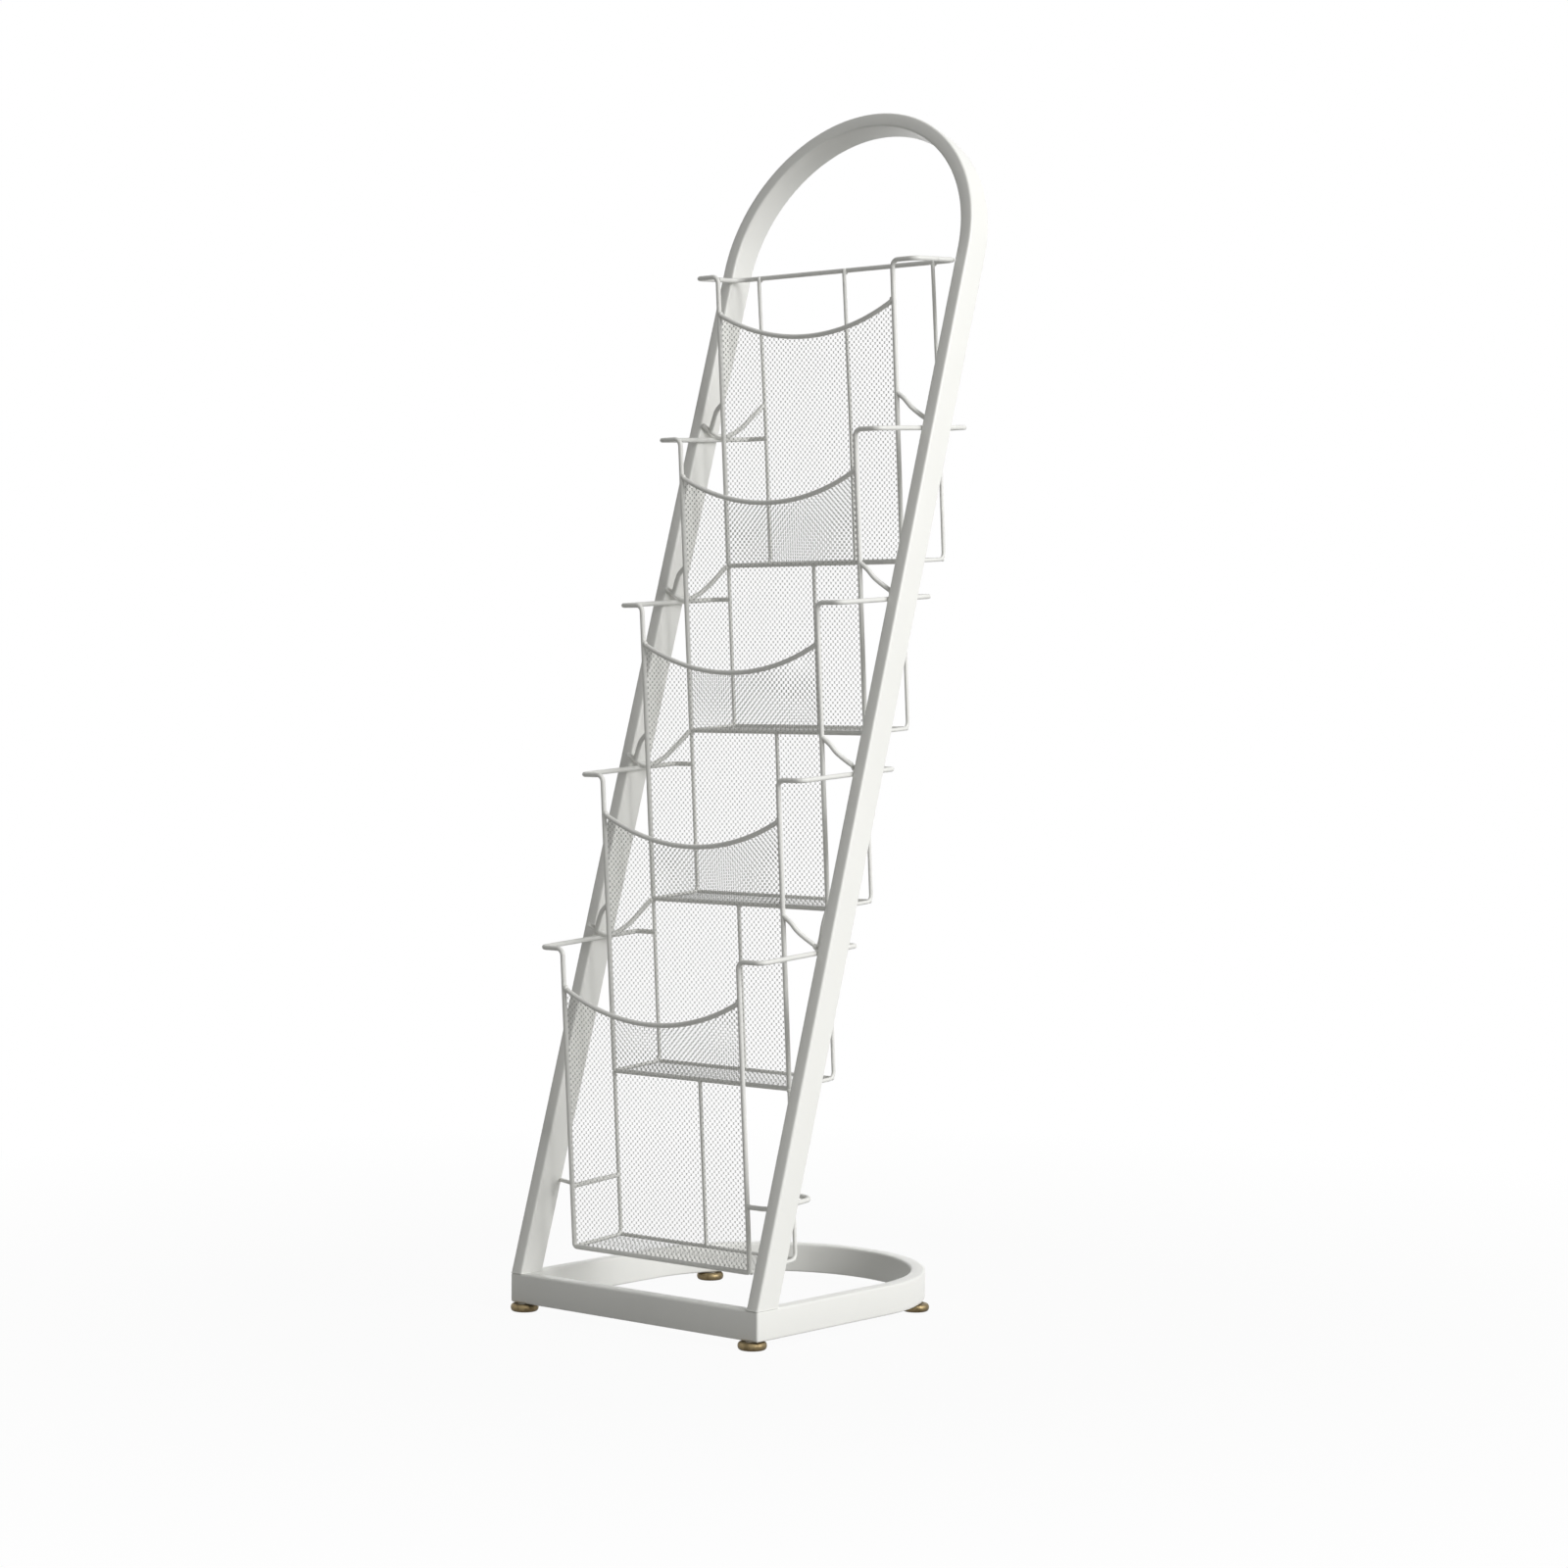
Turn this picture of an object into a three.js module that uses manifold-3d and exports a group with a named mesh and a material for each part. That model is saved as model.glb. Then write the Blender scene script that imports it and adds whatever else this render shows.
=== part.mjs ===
// A free-standing five-pocket magazine rack: a leaning arch of flat steel tube on a hoop base,
// five stepped pockets of welded wire and open mesh, and four brass levelling feet.
// Millimetres. X is to the right, Y is backward and Z is up, seen from the front.
import * as THREE from "three";
import { mergeVertices } from "three/addons/utils/BufferGeometryUtils.js";
import Module from "manifold-3d";

const wasm = await Module();
wasm.setup();

// Frame tube, shared by the arch and the base.
const TUBE_FACE = 15;
const TUBE_DEPTH = 30;
const TUBE_WALL = 1.5;
const RACK_WIDTH = 330;
const LEG_LEAN = THREE.MathUtils.degToRad(16.8);
const LEG_LENGTH = 1092;
const BASE_STRAIGHT = 204;
const ARC_STEPS = 28;

// Levelling feet and their threaded inserts.
const FOOT_RADIUS = 14.2;
const FOOT_PAD_RADIUS = 11.5;
const FOOT_EDGE_STEPS = 8;
const STEM_RADIUS = 4;
const STEM_LENGTH = 24;
const INSERT_FLANGE_HEIGHT = 0.4;
const INSERT_FLANGE_RADIUS = 6.8;
const INSERT_RADIUS = 5.2;
const INSERT_HEIGHT = 10;
const BASE_LIFT = 8.4;
const FRONT_FOOT_INSET = 12.8;
const REAR_FOOT_ANGLE = THREE.MathUtils.degToRad(27.8);

// Pockets.
const POCKETS = 5;
const POCKET_INSET = 47.75;
const POCKET_DEPTH = 69.2;
const POCKET_HEIGHT = 304.4;
const TOP_RIM_DROP = 16.8;
const POCKET_PITCH = THREE.MathUtils.degToRad(3.98);
const LOWEST_RIM_Y = 22.6;
const LOWEST_RIM_Z = 368.7;
const WIRE = 2.5;
const UPRIGHT = 2;
const BEND = 13;
const EAR_BEND = 8;
const TIGHT_BEND = 7;
const SHARP_BEND = 1.4 * WIRE;
const SCOOP_DROP = 39.5;
const SCOOP_SAG = 30;
const ARM_PAST = 5;
const LOOP_HEIGHT = 239.5;
const LOOP_SKEW = 7;
const RAIL_DROP = 3;
const TIE_BACK = 16;
const TIE_DROP = 2.5;

// Mesh panels.
const SHEET = 1.2;
const DIAMOND_WIDTH = 56;
const DIAMOND_HEIGHT = 34;
const STRAND = 3;

// Gaps: between welded pieces, and around a foot's stem.
const GAP = 0.3;
const RUNNING = 0.1;

const WIRE_SIDES = 6;
const BEND_STEPS = 3;
const ROUND_STEPS = 20;

const HALF = RACK_WIDTH / 2;
const INNER = HALF - TUBE_FACE;
const BASE_TOP = BASE_LIFT + TUBE_DEPTH;
const SIDE = HALF - POCKET_INSET;
const ARM_OUT = INNER - WIRE - GAP - SIDE;

// The pockets step evenly from the lowest rim to the top one, just below the arch's bend.
const TOP_RIM_Z = BASE_TOP + LEG_LENGTH * Math.cos(LEG_LEAN) - TOP_RIM_DROP;
const STEP_Z = (TOP_RIM_Z - LOWEST_RIM_Z) / (POCKETS - 1);
const POCKET_RISE = (STEP_Z - POCKET_DEPTH * Math.sin(POCKET_PITCH)) / Math.cos(POCKET_PITCH);
const HANGER_HEIGHT = POCKET_HEIGHT - POCKET_RISE;
const FOOT_HEIGHT = BASE_LIFT - INSERT_FLANGE_HEIGHT - GAP;

const white = { color: 0xf3f3ef, roughness: 0.42, metalness: 0.05 };
const brass = { color: 0x9a7a45, roughness: 0.35, metalness: 0.9 };
const zinc = { color: 0xb9b6ad, roughness: 0.45, metalness: 0.85 };

const rack = new THREE.Group();
rack.name = "magazine_rack";
const model = new THREE.Group();
rack.add(model);

function addMesh(parent, name, geometry, look) {
  const mesh = new THREE.Mesh(geometry, new THREE.MeshStandardMaterial(look));
  mesh.name = name;
  parent.add(mesh);
  return mesh;
}

function solidOf(geometry) {
  const bare = new THREE.BufferGeometry();
  const flat = geometry.index ? geometry.toNonIndexed() : geometry;
  bare.setAttribute("position", flat.getAttribute("position").clone());
  const merged = mergeVertices(bare, 1e-4);
  return new wasm.Manifold(
    new wasm.Mesh({
      numProp: 3,
      vertProperties: merged.getAttribute("position").array,
      triVerts: new Uint32Array(merged.index.array),
    }),
  );
}

function geometryOf(solid) {
  const mesh = solid.getMesh();
  const geometry = new THREE.BufferGeometry();
  geometry.setAttribute(
    "position",
    new THREE.BufferAttribute(new Float32Array(mesh.vertProperties), 3),
  );
  geometry.setIndex(new THREE.BufferAttribute(new Uint32Array(mesh.triVerts), 1));
  geometry.computeVertexNormals();
  return geometry;
}

// A path that goes through its points one step at a time, so a sweep has a ring at each of them.
class PointPath extends THREE.Curve {
  constructor(points) {
    super();
    this.points = points;
  }
  getPointAt(u, target = new THREE.Vector3()) {
    const last = this.points.length - 1;
    const at = Math.min(Math.max(u, 0), 1) * last;
    const i = Math.min(Math.floor(at), last - 1);
    return target.lerpVectors(this.points[i], this.points[i + 1], at - i);
  }
  getTangentAt(u, target = new THREE.Vector3()) {
    const last = this.points.length - 1;
    const i = Math.round(Math.min(Math.max(u, 0), 1) * last);
    const before = this.points[Math.max(i - 1, 0)];
    const here = this.points[i];
    const after = this.points[Math.min(i + 1, last)];
    target.set(0, 0, 0);
    if (i > 0) target.add(here.clone().sub(before).normalize());
    if (i < last) target.add(after.clone().sub(here).normalize());
    return target.normalize();
  }
}

// Corner points, each corner but the first and last turned into an arc of its radius.
function roundedPath(corners) {
  const points = [corners[0].at.clone()];
  for (let i = 1; i < corners.length - 1; i++) {
    const { at, bend } = corners[i];
    const back = corners[i - 1].at.clone().sub(at).normalize();
    const on = corners[i + 1].at.clone().sub(at).normalize();
    const half = back.angleTo(on) / 2;
    const reach = bend / Math.tan(half);
    const middle = back.clone().add(on).normalize();
    const centre = at.clone().addScaledVector(middle, bend / Math.sin(half));
    const from = at.clone().addScaledVector(back, reach).sub(centre);
    const axis = new THREE.Vector3().crossVectors(on, back).normalize();
    const turn = Math.PI - 2 * half;
    for (let s = 0; s <= BEND_STEPS; s++) {
      const arm = from.clone().applyAxisAngle(axis, (turn * s) / BEND_STEPS);
      points.push(centre.clone().add(arm));
    }
  }
  points.push(corners[corners.length - 1].at.clone());
  return points;
}

function wireAlong(points, radius) {
  const ring = new THREE.Shape();
  for (let i = 0; i < WIRE_SIDES; i++) {
    const angle = (2 * Math.PI * i) / WIRE_SIDES;
    const x = radius * Math.cos(angle);
    const y = radius * Math.sin(angle);
    if (i === 0) ring.moveTo(x, y);
    else ring.lineTo(x, y);
  }
  return new THREE.ExtrudeGeometry(ring, {
    steps: points.length - 1,
    extrudePath: new PointPath(points),
  });
}

// In a pocket, x is to the right, v is backward from the front wires and w is down from the rim.
function at(x, v, w) {
  return new THREE.Vector3(x, v, -w);
}

function corner(x, v, w, bend = 0) {
  return { at: at(x, v, w), bend };
}

// The outline of a U: two straight sides joined by a half circle, grown inward by inset.
function hoopOutline(inset, length, start) {
  const shape = new THREE.Shape();
  const outer = HALF - inset;
  const inner = INNER + inset;
  shape.moveTo(outer, start.outer);
  shape.lineTo(outer, length);
  for (let i = 1; i <= ARC_STEPS; i++) {
    const a = (Math.PI * i) / ARC_STEPS;
    shape.lineTo(outer * Math.cos(a), length + outer * Math.sin(a));
  }
  shape.lineTo(-outer, start.outer);
  shape.lineTo(-inner, start.inner);
  for (let i = ARC_STEPS; i >= 0; i--) {
    const a = (Math.PI * i) / ARC_STEPS;
    shape.lineTo(inner * Math.cos(a), length + inner * Math.sin(a));
  }
  shape.lineTo(inner, start.inner);
  shape.closePath();
  return shape;
}

function slab(shape, depth, from) {
  const geometry = new THREE.ExtrudeGeometry(shape, { depth, bevelEnabled: false });
  geometry.translate(0, 0, from);
  return solidOf(geometry);
}

// A tube of the frame's section: a slab with a smaller slab taken out of its middle.
function hollow(outline, cavity) {
  const skin = slab(outline, TUBE_DEPTH, 0);
  return skin.subtract(slab(cavity, TUBE_DEPTH - 2 * TUBE_WALL, TUBE_WALL));
}

function placed(solid, matrix) {
  return solid.transform(matrix.elements);
}

// The leaning arch, cut level where it stands on the base.
function archGeometry() {
  const under = -TUBE_DEPTH;
  const open = under - TUBE_DEPTH;
  const tube = hollow(
    hoopOutline(0, LEG_LENGTH, { outer: under, inner: under }),
    hoopOutline(TUBE_WALL, LEG_LENGTH, { outer: open, inner: open }),
  );
  const upright = new THREE.Matrix4().makeRotationX(Math.PI / 2 - LEG_LEAN);
  upright.setPosition(0, TUBE_DEPTH * Math.cos(LEG_LEAN), BASE_TOP - TUBE_DEPTH * Math.sin(LEG_LEAN));
  const size = 2 * LEG_LENGTH;
  const level = new THREE.BoxGeometry(size, size, size);
  level.translate(0, 0, BASE_TOP + GAP + size / 2);
  return geometryOf(placed(tube, upright).intersect(solidOf(level)));
}

// Where the feet stand, as centres on the base's tubes.
const footPlaces = [
  { name: "front_left", x: -(HALF - FRONT_FOOT_INSET), y: TUBE_FACE / 2 },
  { name: "front_right", x: HALF - FRONT_FOOT_INSET, y: TUBE_FACE / 2 },
];
const middleRadius = HALF - TUBE_FACE / 2;
for (const [name, side] of [
  ["rear_left", -1],
  ["rear_right", 1],
]) {
  footPlaces.push({
    name,
    x: side * middleRadius * Math.cos(REAR_FOOT_ANGLE),
    y: BASE_STRAIGHT + middleRadius * Math.sin(REAR_FOOT_ANGLE),
  });
}

// The front feet's holes reach across the mitre, so both tubes are drilled for every foot.
function drilled(tube) {
  let cut = tube;
  for (const place of footPlaces) {
    const hole = new THREE.CylinderGeometry(
      INSERT_RADIUS + GAP,
      INSERT_RADIUS + GAP,
      4 * TUBE_WALL,
      ROUND_STEPS,
    );
    hole.rotateX(Math.PI / 2);
    hole.translate(place.x, place.y, 0);
    cut = cut.subtract(solidOf(hole));
  }
  return cut;
}

function lifted(solid) {
  return geometryOf(solid.translate(0, 0, BASE_LIFT));
}

// The base's hoop, with its front ends cut at 45 degrees for the front bar.
function hoopGeometry() {
  const seam = GAP * Math.SQRT2;
  const tube = hollow(
    hoopOutline(0, BASE_STRAIGHT, { outer: seam, inner: seam + TUBE_FACE }),
    hoopOutline(TUBE_WALL, BASE_STRAIGHT, { outer: -TUBE_FACE, inner: -TUBE_FACE }),
  );
  return lifted(drilled(tube));
}

function frontBarGeometry() {
  const outline = new THREE.Shape();
  outline.moveTo(-HALF, 0);
  outline.lineTo(HALF, 0);
  outline.lineTo(INNER, TUBE_FACE);
  outline.lineTo(-INNER, TUBE_FACE);
  outline.closePath();
  const cavity = new THREE.Shape();
  cavity.moveTo(-RACK_WIDTH, TUBE_WALL);
  cavity.lineTo(RACK_WIDTH, TUBE_WALL);
  cavity.lineTo(RACK_WIDTH, TUBE_FACE - TUBE_WALL);
  cavity.lineTo(-RACK_WIDTH, TUBE_FACE - TUBE_WALL);
  cavity.closePath();
  return lifted(drilled(hollow(outline, cavity)));
}

function turned(profile) {
  const points = profile.map(([r, z]) => new THREE.Vector2(r, z));
  const geometry = new THREE.LatheGeometry(points, ROUND_STEPS);
  geometry.rotateX(Math.PI / 2);
  return geometry;
}

// A bun-shaped pad whose side is half an ellipse, with a stem that screws into the base.
function footGeometry() {
  const side = [];
  for (let i = 0; i <= FOOT_EDGE_STEPS; i++) {
    const angle = Math.PI * (i / FOOT_EDGE_STEPS - 0.5);
    const radius = FOOT_PAD_RADIUS + (FOOT_RADIUS - FOOT_PAD_RADIUS) * Math.cos(angle);
    side.push([radius, (FOOT_HEIGHT / 2) * (1 + Math.sin(angle))]);
  }
  return turned([
    [0, 0],
    ...side,
    [STEM_RADIUS, FOOT_HEIGHT],
    [STEM_RADIUS, STEM_LENGTH],
    [0, STEM_LENGTH],
  ]);
}

function insertGeometry() {
  const bore = STEM_RADIUS + RUNNING;
  const low = BASE_LIFT - INSERT_FLANGE_HEIGHT;
  return turned([
    [bore, low],
    [INSERT_FLANGE_RADIUS, low],
    [INSERT_FLANGE_RADIUS, BASE_LIFT],
    [INSERT_RADIUS, BASE_LIFT],
    [INSERT_RADIUS, BASE_LIFT + INSERT_HEIGHT],
    [bore, BASE_LIFT + INSERT_HEIGHT],
    [bore, low],
  ]);
}

// A flat sheet with staggered diamond openings, inside an outline given as w limits for each x.
function netGeometry(halfWidth, topAt, bottom, edge, cut) {
  const sheet = new THREE.Shape();
  const steps = 12;
  sheet.moveTo(-halfWidth, bottom + cut);
  sheet.lineTo(-halfWidth + cut, bottom);
  sheet.lineTo(halfWidth - cut, bottom);
  sheet.lineTo(halfWidth, bottom + cut);
  for (let i = 0; i <= steps; i++) {
    const x = halfWidth - (2 * halfWidth * i) / steps;
    sheet.lineTo(x, topAt(x));
  }
  sheet.closePath();
  const rows = Math.ceil((topAt(halfWidth) - bottom) / (DIAMOND_HEIGHT / 2));
  const columns = Math.ceil(halfWidth / DIAMOND_WIDTH) + 1;
  const reachX = DIAMOND_WIDTH / 2 - STRAND;
  const reachY = (DIAMOND_HEIGHT / DIAMOND_WIDTH) * reachX;
  for (let row = 1; row < rows; row++) {
    const y = bottom + edge + (row * DIAMOND_HEIGHT) / 2;
    for (let column = -columns; column <= columns; column++) {
      const x = (column + (row % 2) / 2) * DIAMOND_WIDTH;
      const clearX = Math.abs(x) + reachX < halfWidth - edge;
      const clearTop = y + reachY < topAt(x) - edge;
      const clearSides = y < topAt(Math.abs(x) - reachX) - edge;
      const clearBottom = y - reachY > bottom + edge;
      if (!clearX || !clearTop || !clearSides || !clearBottom) continue;
      const hole = new THREE.Path();
      hole.moveTo(x + reachX, y);
      hole.lineTo(x, y + reachY);
      hole.lineTo(x - reachX, y);
      hole.lineTo(x, y - reachY);
      hole.closePath();
      sheet.holes.push(hole);
    }
  }
  const geometry = new THREE.ExtrudeGeometry(sheet, { depth: SHEET, bevelEnabled: false });
  geometry.translate(0, 0, -SHEET / 2);
  return geometry;
}

// The scoop is an arc of a circle through its two ends and its lowest point.
const SCOOP_RADIUS = (SIDE * SIDE + SCOOP_SAG * SCOOP_SAG) / (2 * SCOOP_SAG);

function scoopDrop(x, radius) {
  const centre = SCOOP_DROP + SCOOP_SAG - SCOOP_RADIUS;
  return centre + Math.sqrt(radius * radius - x * x);
}

function scoopPoints() {
  const end = SIDE - WIRE - GAP - (WIRE * SIDE) / SCOOP_RADIUS;
  const points = [];
  const steps = 14;
  for (let i = 0; i <= steps; i++) {
    const x = -end + (2 * end * i) / steps;
    points.push(at(x, 0, scoopDrop(x, SCOOP_RADIUS)));
  }
  return points;
}

// The front wire: arm, ear, front upright, bottom, and the same again on the other side.
function frontWirePoints(armCorners) {
  const out = SIDE + ARM_OUT;
  const left = armCorners.map(({ at: p, bend }) => corner(-p.x, p.y, -p.z, bend));
  return roundedPath([
    ...left,
    corner(-out, 0, 0, EAR_BEND),
    corner(-SIDE, 0, 0, TIGHT_BEND),
    corner(-SIDE, 0, POCKET_HEIGHT, SHARP_BEND),
    corner(SIDE, 0, POCKET_HEIGHT, SHARP_BEND),
    corner(SIDE, 0, 0, TIGHT_BEND),
    corner(out, 0, 0, EAR_BEND),
    ...armCorners.reverse(),
  ]);
}

// An arm as long as two pockets, turned in behind the rear upright of the pocket above.
function longArm() {
  const back = 2 * POCKET_DEPTH + ARM_PAST;
  return [corner(SIDE, back, 0), corner(SIDE + ARM_OUT, back, 0, SHARP_BEND)];
}

function shortArm() {
  return [corner(SIDE + ARM_OUT, POCKET_DEPTH / 2, 0)];
}

// The top pocket's arms meet a wire that runs round the back.
function rearRimPoints() {
  const out = SIDE + ARM_OUT;
  const start = POCKET_DEPTH / 2 + GAP;
  return roundedPath([
    corner(-out, start, 0),
    corner(-out, POCKET_DEPTH, 0, BEND),
    corner(out, POCKET_DEPTH, 0, BEND),
    corner(out, start, 0),
  ]);
}

function sideRearPoints(side, top) {
  const x = side * SIDE;
  return roundedPath([
    corner(x, POCKET_DEPTH, top),
    corner(x, POCKET_DEPTH, POCKET_HEIGHT, TIGHT_BEND),
    corner(x, WIRE + GAP, POCKET_HEIGHT),
  ]);
}

// The middle rear upright, joined to the wire along the rear of the bottom.
function rearTeeGeometry(top) {
  const end = SIDE - UPRIGHT - GAP;
  const post = wireAlong([at(0, POCKET_DEPTH, top), at(0, POCKET_DEPTH, POCKET_HEIGHT)], UPRIGHT);
  const bar = wireAlong(
    [at(-end, POCKET_DEPTH, POCKET_HEIGHT), at(end, POCKET_DEPTH, POCKET_HEIGHT)],
    UPRIGHT,
  );
  return geometryOf(solidOf(post).add(solidOf(bar)));
}

// A hanger: a stay from the front upright and a sling from the rear one, joined at the leg.
function hangerGeometry(side) {
  const place = ([out, v, drop]) => at(side * (SIDE + out), v, HANGER_HEIGHT + drop);
  const deep = ARM_OUT;
  const stay = [
    [1.7 * WIRE + GAP, 0.2, 2],
    [0.32 * deep, 0.9, 6.5],
    [0.5 * deep, 2.9, 13.5],
    [0.7 * deep, 6.6, 20.1],
    [0.93 * deep, 11, 26.7],
  ];
  const sling = [
    [deep, 2, 20.7],
    [0.97 * deep, 7.7, 24.4],
    [0.9 * deep, 14.7, 29.1],
    [0.82 * deep, 19.7, 32.1],
    [0.68 * deep, 27.1, 33],
    [0.54 * deep, 35.3, 29.6],
    [0.4 * deep, 43.1, 24.1],
    [0.2 * deep, 54.6, 12.8],
    [0.1 * deep, POCKET_DEPTH - WIRE - UPRIGHT, 4],
  ];
  const front = wireAlong(stay.map(place), WIRE);
  const rear = wireAlong(sling.map(place), WIRE);
  return geometryOf(solidOf(front).add(solidOf(rear)));
}

// In place of hangers the lowest pocket has a level loop on its right, whose rear run slants back
// to the rear upright, and on its left a rail between the uprights and a tie to the leg.
function loopPoints() {
  const place = (out, v, bend) => corner(SIDE + out, v, LOOP_HEIGHT, bend);
  const out = ARM_OUT;
  const slant = LOOP_SKEW / ARM_OUT;
  return roundedPath([
    place(WIRE + GAP, 0),
    place(out, 0, BEND),
    place(out, POCKET_DEPTH - LOOP_SKEW, BEND),
    place(UPRIGHT + GAP + WIRE * slant, POCKET_DEPTH),
  ]);
}

function railPoints() {
  const down = LOOP_HEIGHT + RAIL_DROP;
  return [at(-SIDE, WIRE + GAP, down), at(-SIDE, POCKET_DEPTH - UPRIGHT - GAP, down)];
}

// The tie slants out and back, from beside the front upright to the leg's inner face.
function tiePoints() {
  const place = (out, v, drop) => at(-(SIDE + out), v, LOOP_HEIGHT + drop);
  const end = UPRIGHT / 2;
  return [place(WIRE + GAP + end, 0.6 * WIRE, 0), place(ARM_OUT + end, TIE_BACK, TIE_DROP)];
}

function addPocket(number) {
  const pocket = new THREE.Group();
  const steps = POCKETS - number;
  const turn = new THREE.Matrix4().makeRotationX(POCKET_PITCH);
  const shift = new THREE.Vector3(0, POCKET_DEPTH * steps, POCKET_RISE * steps);
  shift.applyMatrix4(turn);
  pocket.position.set(0, LOWEST_RIM_Y + shift.y, LOWEST_RIM_Z + shift.z);
  pocket.rotation.x = POCKET_PITCH;
  model.add(pocket);

  const top = number === 1;
  const lowest = number === POCKETS;
  const tag = "pocket_" + number;
  const frontWire = frontWirePoints(top ? shortArm() : longArm());
  addMesh(pocket, tag + "_front_wire", wireAlong(frontWire, WIRE), white);
  addMesh(pocket, tag + "_scoop_wire", wireAlong(scoopPoints(), WIRE), white);
  if (top) {
    addMesh(pocket, tag + "_rear_rim", wireAlong(rearRimPoints(), WIRE), white);
  }

  const rearTop = (top ? 0 : HANGER_HEIGHT) + WIRE + GAP;
  addMesh(pocket, tag + "_rear_tee", rearTeeGeometry(rearTop), white);
  for (const [word, side] of [
    ["left", -1],
    ["right", 1],
  ]) {
    const rear = wireAlong(sideRearPoints(side, rearTop), UPRIGHT);
    addMesh(pocket, tag + "_rear_" + word, rear, white);
    if (!lowest) {
      addMesh(pocket, tag + "_hanger_" + word, hangerGeometry(side), white);
    }
  }
  if (lowest) {
    addMesh(pocket, tag + "_loop_right", wireAlong(loopPoints(), WIRE), white);
    addMesh(pocket, tag + "_rail_left", wireAlong(railPoints(), WIRE), white);
    addMesh(pocket, tag + "_tie_left", wireAlong(tiePoints(), UPRIGHT), white);
  }

  const clear = WIRE + GAP;
  const topAt = (x) => -scoopDrop(x, SCOOP_RADIUS + clear);
  const front = netGeometry(SIDE - clear, topAt, -(POCKET_HEIGHT - clear), STRAND, SHARP_BEND - WIRE);
  front.rotateX(Math.PI / 2);
  addMesh(pocket, tag + "_front_mesh", front, white);

  const floorTop = POCKET_DEPTH - UPRIGHT - GAP;
  const floor = netGeometry(SIDE - UPRIGHT - GAP, () => floorTop, clear, STRAND, STRAND);
  floor.translate(0, 0, -POCKET_HEIGHT);
  addMesh(pocket, tag + "_bottom_mesh", floor, white);
}

addMesh(model, "arch_frame", archGeometry(), white);
addMesh(model, "base_front_bar", frontBarGeometry(), white);
addMesh(model, "base_hoop", hoopGeometry(), white);
for (const place of footPlaces) {
  const foot = addMesh(model, "foot_" + place.name, footGeometry(), brass);
  foot.position.set(place.x, place.y, 0);
  const insert = addMesh(model, "insert_" + place.name, insertGeometry(), zinc);
  insert.position.set(place.x, place.y, 0);
}
for (let number = 1; number <= POCKETS; number++) addPocket(number);

// The origin is under the middle of the whole rack, on the floor.
const middle = new THREE.Box3().setFromObject(rack).getCenter(new THREE.Vector3());
model.position.set(-middle.x, -middle.y, 0);

export default rack;
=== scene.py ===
"""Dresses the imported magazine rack: rounded tube, welded wire, expanded metal and brass feet."""

import math

import bpy
from mathutils import Matrix, Vector


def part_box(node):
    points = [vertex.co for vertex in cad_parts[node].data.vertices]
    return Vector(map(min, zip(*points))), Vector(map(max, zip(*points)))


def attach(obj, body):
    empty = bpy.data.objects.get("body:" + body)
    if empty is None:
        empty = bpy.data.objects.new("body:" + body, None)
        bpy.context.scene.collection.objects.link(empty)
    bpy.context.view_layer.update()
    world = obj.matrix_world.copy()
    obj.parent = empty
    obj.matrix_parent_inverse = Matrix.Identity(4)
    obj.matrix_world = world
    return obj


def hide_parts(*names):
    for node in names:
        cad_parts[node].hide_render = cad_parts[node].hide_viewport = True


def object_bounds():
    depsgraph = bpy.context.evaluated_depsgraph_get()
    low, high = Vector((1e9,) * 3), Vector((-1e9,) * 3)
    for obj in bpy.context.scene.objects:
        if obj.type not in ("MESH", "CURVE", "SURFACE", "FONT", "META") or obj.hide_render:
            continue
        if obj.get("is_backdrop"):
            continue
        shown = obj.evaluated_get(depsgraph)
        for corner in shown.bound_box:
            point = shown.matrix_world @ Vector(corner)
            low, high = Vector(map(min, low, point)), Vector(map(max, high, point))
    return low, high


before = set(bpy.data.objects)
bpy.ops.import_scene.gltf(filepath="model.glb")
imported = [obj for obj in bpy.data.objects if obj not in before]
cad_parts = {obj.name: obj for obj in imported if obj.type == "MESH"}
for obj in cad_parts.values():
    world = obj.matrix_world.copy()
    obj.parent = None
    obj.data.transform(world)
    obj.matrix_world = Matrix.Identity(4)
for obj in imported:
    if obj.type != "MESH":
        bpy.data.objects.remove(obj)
CAD_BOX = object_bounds()

bl_info = {
    "name": "Magazine rack",
    "version": (1, 0, 0),
    "blender": (4, 5, 0),
    "location": "View3D > Sidebar > Rack",
    "description": "Builds a five-pocket wire magazine rack around its packed solids",
    "category": "Add Mesh",
}

BODY = "rack"
STEEL_SLOT = "insert_steel"
POCKETS = 5
SIDES = (("left", -1), ("right", 1))
FEET = ("front_left", "front_right", "rear_left", "rear_right")

BAR_LOW, BAR_HIGH = (Vector(c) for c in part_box("base_front_bar"))
HOOP_LOW, HOOP_HIGH = (Vector(c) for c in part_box("base_hoop"))
FRONT_Y = BAR_LOW.y
BASE_UNDER = BAR_LOW.z
BASE_TOP = BAR_HIGH.z
HALF_WIDTH = BAR_HIGH.x
TUBE_FACE = BAR_HIGH.y - BAR_LOW.y
TUBE_DEPTH = BASE_TOP - BASE_UNDER
BASE_STRAIGHT = HOOP_HIGH.y - FRONT_Y - HALF_WIDTH


def length(name, description, default):
    """A length property in metres."""
    return bpy.props.FloatProperty(
        name=name, description=description, default=default, unit="LENGTH", precision=5
    )


def turn(name, description, degrees):
    """An angle property, given in degrees."""
    return bpy.props.FloatProperty(
        name=name, description=description, default=math.radians(degrees), unit="ROTATION"
    )


def colour(name, description, default):
    """A linear colour property."""
    return bpy.props.FloatVectorProperty(
        name=name, description=description, default=default, size=3, min=0, max=1, subtype="COLOR"
    )


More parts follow.
